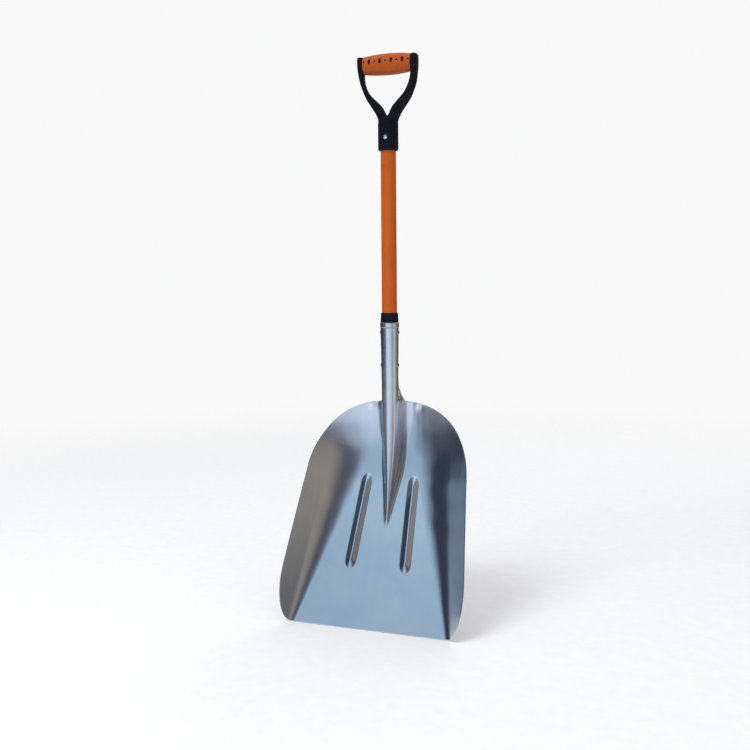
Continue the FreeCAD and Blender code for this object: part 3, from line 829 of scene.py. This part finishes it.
def mixed(tree, factor, first, second, blend="MIX"):
    """Two colours mixed; each input is a number, a colour or a socket."""
    node = tree.nodes.new("ShaderNodeMixRGB")
    node.blend_type = blend
    for socket, value in zip(node.inputs, (factor, first, second)):
        if isinstance(value, float):
            socket.default_value = value
        elif isinstance(value, tuple):
            socket.default_value = (*value, 1.0)
        else:
            tree.links.new(value, socket)
    return node.outputs[0]


def position(tree, kind, axis):
    """One coordinate of the shaded place, or of the ray in the world."""
    coords = tree.nodes.new("ShaderNodeTexCoord")
    split = tree.nodes.new("ShaderNodeSeparateXYZ")
    tree.links.new(coords.outputs[kind], split.inputs["Vector"])
    return split.outputs[axis]


def bumped(tree, shader, *layers):
    """Stacks bump layers of (height, strength, distance) on the shader."""
    before = None
    for height, strength, distance in layers:
        node = tree.nodes.new("ShaderNodeBump")
        node.inputs["Strength"].default_value = strength
        node.inputs["Distance"].default_value = distance
        tree.links.new(height, node.inputs["Height"])
        if before is not None:
            tree.links.new(before, node.inputs["Normal"])
        before = node.outputs["Normal"]
    tree.links.new(before, shader.inputs["Normal"])


def aluminium():
    """Rolled sheet: streaks up the blade, smears, a hazier rear, and painted shade in a band along the
    socket's ledge.
    """
    made, tree, shader = material("blade_aluminium")
    upwards = (1.0, 0.05, 0.05)
    streaks = noise(tree, 900.0, 4.0, upwards)
    bands = noise(tree, 90.0, 3.0, upwards)
    smears = noise(tree, 14.0)
    height = position(tree, "Object", "Z")
    tint = ramp(tree, smears, (0.3, (0.70, 0.74, 0.80)), (0.7, (0.80, 0.80, 0.81)))
    unshaded_tone = (1.0, 1.0, 1.0)
    ledge_shade_tone = (0.45, 0.46, 0.48)
    # painted shade: a darker band of base colour round the socket's ledge, at the crease of its step
    crease = remapped(tree, height, 0.0, 1.0, LIP_Z + 0.6003, LIP_Z + 0.6057)
    ledge_shade = ramp(tree, crease, (0.0, unshaded_tone), (0.3, ledge_shade_tone), (0.7, ledge_shade_tone), (1.0, unshaded_tone))
    tree.links.new(mixed(tree, 1.0, tint, ledge_shade, "MULTIPLY"), shader.inputs["Base Color"])
    rough = worked_out(tree, "ADD", remapped(tree, bands, 0.11, 0.19), remapped(tree, streaks, -0.03, 0.06))
    haze = remapped(tree, height, 0.0, 0.07, LIP_Z + 0.29, LIP_Z + 0.42)
    tree.links.new(worked_out(tree, "ADD", rough, haze), shader.inputs["Roughness"])
    shader.inputs["Metallic"].default_value = 1.0
    bumped(tree, shader, (streaks, 0.12, 0.0002), (bands, 0.16, 0.0008), (smears, 0.08, 0.004))
    return made


def rivet_metal(name, dark, light):
    made, tree, shader = material(name)
    pits = noise(tree, 700.0)
    tree.links.new(ramp(tree, pits, (0.3, dark), (0.7, light)), shader.inputs["Base Color"])
    tree.links.new(remapped(tree, pits, 0.2, 0.36), shader.inputs["Roughness"])
    shader.inputs["Metallic"].default_value = 1.0
    bumped(tree, shader, (pits, 0.15, 0.0003))
    return made


def orange_paint():
    """Glossy paint with a faint orange-peel surface."""
    made, tree, shader = material("shaft_orange")
    clouds = noise(tree, 26.0)
    grain = noise(tree, 1500.0)
    peel = noise(tree, 260.0, 2.0)
    paint = ramp(tree, clouds, (0.25, (0.56, 0.095, 0.002)), (0.75, (0.63, 0.120, 0.004)))
    tree.links.new(paint, shader.inputs["Base Color"])
    tree.links.new(remapped(tree, grain, 0.28, 0.42), shader.inputs["Roughness"])
    shader.inputs["Specular IOR Level"].default_value = 0.5
    bumped(tree, shader, (peel, 0.10, 0.0004), (grain, 0.10, 0.0001))
    return made


def black_plastic(name):
    """Moulded plastic with a fine grain and faint flow lines."""
    made, tree, shader = material(name)
    clouds = noise(tree, 30.0)
    grain = noise(tree, 1800.0, 4.0)
    flow = noise(tree, 120.0, 2.0, (1.0, 1.0, 0.3))
    body = ramp(tree, clouds, (0.25, (0.002, 0.003, 0.007)), (0.75, (0.005, 0.007, 0.013)))
    tree.links.new(body, shader.inputs["Base Color"])
    tree.links.new(remapped(tree, flow, 0.50, 0.65), shader.inputs["Roughness"])
    shader.inputs["Specular IOR Level"].default_value = 0.2
    bumped(tree, shader, (grain, 0.25, 0.0002), (flow, 0.08, 0.0005))
    return made


def grip_orange():
    """Matt rubbery sleeve."""
    made, tree, shader = material("grip_orange")
    clouds = noise(tree, 40.0)
    grain = noise(tree, 1600.0)
    body = ramp(tree, clouds, (0.25, (0.46, 0.082, 0.008)), (0.75, (0.55, 0.108, 0.012)))
    tree.links.new(body, shader.inputs["Base Color"])
    tree.links.new(remapped(tree, grain, 0.42, 0.58), shader.inputs["Roughness"])
    shader.inputs["Specular IOR Level"].default_value = 0.35
    bumped(tree, shader, (grain, 0.22, 0.0002))
    return made


def pocket_shade():
    """Painted shade: near-black colour inside the sleeve's pockets."""
    made, tree, shader = material("pocket_shade")
    grain = noise(tree, 900.0, 2.0)
    # painted shade: near-black base colour for the pocket faces, where the recesses' shade falls
    body = ramp(tree, grain, (0.3, (0.012, 0.008, 0.008)), (0.7, (0.03, 0.016, 0.014)))
    tree.links.new(body, shader.inputs["Base Color"])
    tree.links.new(remapped(tree, grain, 0.5, 0.7), shader.inputs["Roughness"])
    return made


def plug_wood():
    made, tree, shader = material("plug_wood")
    rings = noise(tree, 120.0, 4.0, (1.0, 1.0, 0.06))
    fibre = noise(tree, 900.0, 3.0, (1.0, 1.0, 0.05))
    wood = ramp(tree, rings, (0.3, (0.30, 0.17, 0.08)), (0.7, (0.52, 0.34, 0.18)))
    tree.links.new(wood, shader.inputs["Base Color"])
    tree.links.new(remapped(tree, fibre, 0.55, 0.8), shader.inputs["Roughness"])
    bumped(tree, shader, (fibre, 0.3, 0.0003))
    return made


# World, floor and lights -------------------------------------------------------------------------

def reflected_sky(tree):
    """Light and dark panels round the object, in four belts from level to overhead.

    Each panel edge is (degrees from the front towards +X, colour)."""
    forward = worked_out(tree, "MULTIPLY", position(tree, "Generated", "Y"), -1.0)
    azimuth = worked_out(tree, "ARCTAN2", position(tree, "Generated", "X"), forward)
    share = remapped(tree, azimuth, 0.0, 1.0, -math.pi, math.pi)

    def belt(*edges):
        return ramp(tree, share, *[((degrees + 180.0) / 360.0, colour) for degrees, colour in edges])

    navy = (0.026, 0.037, 0.064)
    slate = (0.18, 0.245, 0.32)
    dusk = (0.028, 0.040, 0.068)
    overhead = belt(
        (-180, (0.50, 0.50, 0.50)), (-100, (0.20, 0.25, 0.32)), (-60, (0.13, 0.18, 0.25)),
        (-38, (0.48, 0.66, 0.86)), (-20, (0.64, 0.88, 1.06)), (-4, (0.58, 0.78, 0.98)),
        (10, (0.32, 0.40, 0.52)), (34, (0.18, 0.21, 0.28)), (60, (0.24, 0.27, 0.32)),
        (180, (0.50, 0.50, 0.50)))
    high = belt(
        (-180, (0.50, 0.50, 0.50)), (-140, (0.40, 0.42, 0.45)), (-108, (0.22, 0.27, 0.33)),
        (-83, slate), (-76, dusk), (-52, navy), (-37, (0.28, 0.38, 0.50)), (-29, (0.35, 0.50, 0.66)),
        (-10, (0.37, 0.52, 0.68)), (4, (0.13, 0.15, 0.20)), (14, (0.075, 0.085, 0.12)),
        (25, (0.09, 0.09, 0.11)), (33, (0.23, 0.21, 0.19)), (46, (0.33, 0.30, 0.26)),
        (56, (0.18, 0.165, 0.15)), (66, (0.105, 0.10, 0.105)), (100, (0.22, 0.20, 0.19)),
        (135, (0.50, 0.49, 0.48)), (180, (0.50, 0.50, 0.50)))
    low = belt(
        (-180, (0.30, 0.30, 0.30)), (-140, (0.05, 0.06, 0.09)), (-104, slate), (-83, slate),
        (-76, dusk), (-55, navy), (-34, (0.13, 0.18, 0.25)), (-20, (0.46, 0.58, 0.72)),
        (-6, (0.62, 0.76, 0.90)), (8, (0.42, 0.50, 0.61)), (20, (0.24, 0.28, 0.36)),
        (40, (0.20, 0.22, 0.28)), (54, (0.11, 0.12, 0.15)), (80, (0.06, 0.06, 0.07)),
        (104, (0.07, 0.065, 0.07)), (122, (0.15, 0.13, 0.125)), (160, (0.25, 0.23, 0.22)),
        (180, (0.30, 0.30, 0.30)))
    level = belt(
        (-180, (0.20, 0.19, 0.19)), (-145, (0.03, 0.04, 0.06)), (-79, (0.02, 0.03, 0.05)),
        (-58, (0.05, 0.07, 0.11)), (-36, (0.10, 0.14, 0.20)), (-25, (0.60, 0.74, 0.92)),
        (2, (0.66, 0.82, 1.00)), (34, (0.50, 0.60, 0.76)), (54, (0.20, 0.22, 0.27)),
        (70, (0.58, 0.56, 0.55)), (92, (0.52, 0.49, 0.47)), (110, (0.20, 0.18, 0.17)),
        (130, (0.09, 0.08, 0.08)), (160, (0.12, 0.11, 0.11)), (180, (0.20, 0.19, 0.19)))
    belts = by_height(tree, 0.16, 0.32, low, high)
    belts = by_height(tree, -0.02, 0.08, level, belts)
    return by_height(tree, 0.60, 0.84, belts, overhead)


def by_height(tree, start, end, under, over):
    """Colour under and over two heights of the ray's direction."""
    return mixed(tree, remapped(tree, position(tree, "Generated", "Z"), 0.0, 1.0, start, end), under, over)


def make_world():
    """Pale backdrop for the camera, panels for reflections, and soft light for everything else."""
    world = bpy.data.worlds.new("studio")
    bpy.context.scene.world = world
    world.use_nodes = True
    tree = world.node_tree
    tree.nodes.clear()
    reflected = tree.nodes.new("ShaderNodeBackground")
    tree.links.new(reflected_sky(tree), reflected.inputs["Color"])
    soft = tree.nodes.new("ShaderNodeBackground")
    light = by_height(tree, -0.3, 0.7, (0.08, 0.08, 0.09), (0.86, 0.86, 0.87))
    tree.links.new(light, soft.inputs["Color"])
    seen = tree.nodes.new("ShaderNodeBackground")
    seen.inputs["Color"].default_value = (0.95, 0.95, 0.952, 1.0)
    path = tree.nodes.new("ShaderNodeLightPath")
    shown = soft
    for ray, background in (("Is Glossy Ray", reflected), ("Is Camera Ray", seen)):
        mix = tree.nodes.new("ShaderNodeMixShader")
        tree.links.new(path.outputs[ray], mix.inputs["Fac"])
        tree.links.new(shown.outputs[0], mix.inputs[1])
        tree.links.new(background.outputs[0], mix.inputs[2])
        shown = mix
    output = tree.nodes.new("ShaderNodeOutputWorld")
    tree.links.new(shown.outputs[0], output.inputs["Surface"])


def make_floor():
    """Pale floor under the lip that fades out long before its edge."""
    radius = 9.0 / MM
    steps = 96
    rim = spun([(radius, -FLOOR_DROP / MM)], steps).reshape(-1, 3)
    verts = np.concatenate([[(0.0, 0.0, -FLOOR_DROP / MM)], rim])
    faces = [(0, i + 1, (i + 1) % steps + 1) for i in range(steps)]
    floor = mesh_object("floor", verts, faces, smooth=False)
    made, tree, shader = material("floor_pale")
    speck = ramp(tree, noise(tree, 40.0, 2.0), (0.3, (0.86, 0.86, 0.865)), (0.7, (0.89, 0.89, 0.895)))
    tree.links.new(speck, shader.inputs["Base Color"])
    shader.inputs["Roughness"].default_value = 0.9
    shader.inputs["Specular IOR Level"].default_value = 0.1
    coords = tree.nodes.new("ShaderNodeTexCoord")
    flat = tree.nodes.new("ShaderNodeMapping")
    flat.inputs["Scale"].default_value = (1.0, 1.0, 0.0)
    far = tree.nodes.new("ShaderNodeVectorMath")
    far.operation = "LENGTH"
    tree.links.new(coords.outputs["Object"], flat.inputs["Vector"])
    tree.links.new(flat.outputs["Vector"], far.inputs[0])
    fade = remapped(tree, far.outputs["Value"], 1.0, 0.0, 0.7, 3.2, "SMOOTHSTEP")
    tree.links.new(fade, shader.inputs["Alpha"])
    floor.data.materials.append(made)


def area_light(name, at, aim, size, power, colour):
    """Rectangular light that reflections don't show."""
    data = bpy.data.lights.new(name, "AREA")
    data.shape = "RECTANGLE"
    data.size, data.size_y = size
    data.energy = power
    data.color = colour
    light = bpy.data.objects.new(name, data)
    light.visible_glossy = False
    bpy.context.scene.collection.objects.link(light)
    way = Vector(at) - Vector(aim)
    light.matrix_world = Matrix.Translation(Vector(at)) @ way.to_track_quat("Z", "Y").to_matrix().to_4x4()


def make_lights():
    middle = LIP_Z + 0.6
    aim = (0.0, 0.0, middle)
    area_light("key", (-1.2, -1.9, middle + 2.6), aim, (1.4, 1.8), 60.0, (0.93, 0.96, 1.0))
    area_light("fill", (2.2, -1.4, middle + 0.5), aim, (1.0, 1.6), 4.0, (1.0, 0.95, 0.90))
    area_light("rear", (0.4, 2.4, middle + 1.0), aim, (1.6, 1.2), 8.0, (1.0, 1.0, 1.0))


# Assembly ----------------------------------------------------------------------------------------

def dressed(obj, made, slot, *nodes):
    """The piece with its material, riding on the shovel in place of its CAD nodes."""
    obj.data.materials.clear()
    obj.data.materials.append(made)
    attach(obj, "root")
    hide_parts(*nodes)
    return obj


def shade_pockets(sleeve):
    """Gives the faces inside the sleeve's pockets their painted shade."""
    sleeve.data.materials.append(pocket_shade())
    for face in sleeve.data.polygons:
        x, y, z = face.center
        if y < 0.0:
            depth = mark_depth(np.array([x / MM]), np.array([(z - LIP_Z) / MM - BAR_Z]))[0]
            if depth > 0.55:
                face.material_index = 1


def make_rivets():
    bright = rivet_metal("rivet_bright", (0.74, 0.76, 0.80), (0.86, 0.87, 0.90))
    # painted shade: the socket rivets get a darker copy of the rivet metal, while the grip rivet keeps the
    # plain one
    shaded_metal = rivet_metal("rivet_painted_shade", (0.26, 0.27, 0.29), (0.36, 0.37, 0.39))
    for name, z in RIVETS.items():
        wall = SOCKET_R + (SOCKET_TOP_R - SOCKET_R) * (z - NECK_TOP_Z) / (SOCKET_LIP_Z - NECK_TOP_Z)
        dressed(rivet(name + "_turned", z, 1, wall, RIVET_HEAD_R), shaded_metal, "rivet_metal", name)
    head = rivet("grip_rivet_turned", GRIP_RIVET_Z, 2, NECK_R, GRIP_RIVET_HEAD_R)
    dressed(head, bright, "rivet_metal", "grip_rivet")


bpy.context.scene.view_settings.view_transform = "Standard"
make_camera()
make_world()
make_floor()
make_lights()

dressed(blade(), aluminium(), "blade_aluminium", "blade")
dressed(shaft(), orange_paint(), "shaft_orange", "shaft")
dressed(collar(), black_plastic("collar_plastic"), "collar_plastic", "collar")
make_rivets()
dressed(grip_frame(), black_plastic("grip_black"), "grip_black", "grip_frame")
shade_pockets(dressed(grip_sleeve(), grip_orange(), "grip_orange", "grip_sleeve"))

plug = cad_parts["shaft_core_plug"]
plug.data.materials.clear()
plug.data.materials.append(plug_wood())
